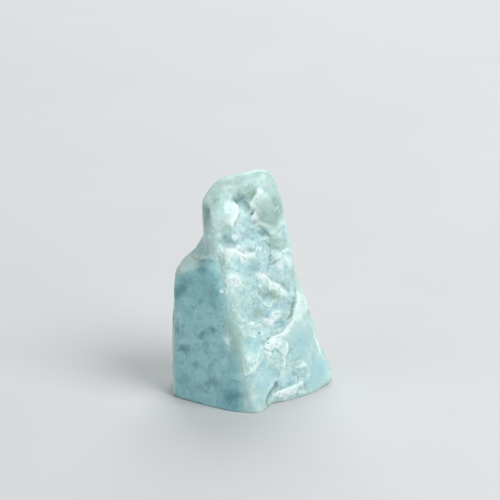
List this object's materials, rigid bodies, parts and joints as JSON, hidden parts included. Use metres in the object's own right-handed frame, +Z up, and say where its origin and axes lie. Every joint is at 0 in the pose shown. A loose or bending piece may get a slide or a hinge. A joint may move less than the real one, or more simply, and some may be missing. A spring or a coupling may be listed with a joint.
{
  "type": "rough larimar stone",
  "caption": "Half-tumbled blue stone that stands upright: a flat polished face at the left, broken stone at the front right, a narrower knob on top, and a flat foot.",
  "frame": {"origin": "middle of the stone's box, at the height of its flat foot", "axes": "+Z up the stone, -Y towards the front with the broken face, +X to the right as seen from the front"},
  "size_m": [0.03, 0.024, 0.0432],
  "materials": {
    "larimar": "tumbled to a soft shine on the old faces, dull and pale where it is broken"
  },
  "bodies": {
    "root": {"larimar_stone": "larimar"}
  },
  "joints": []
}
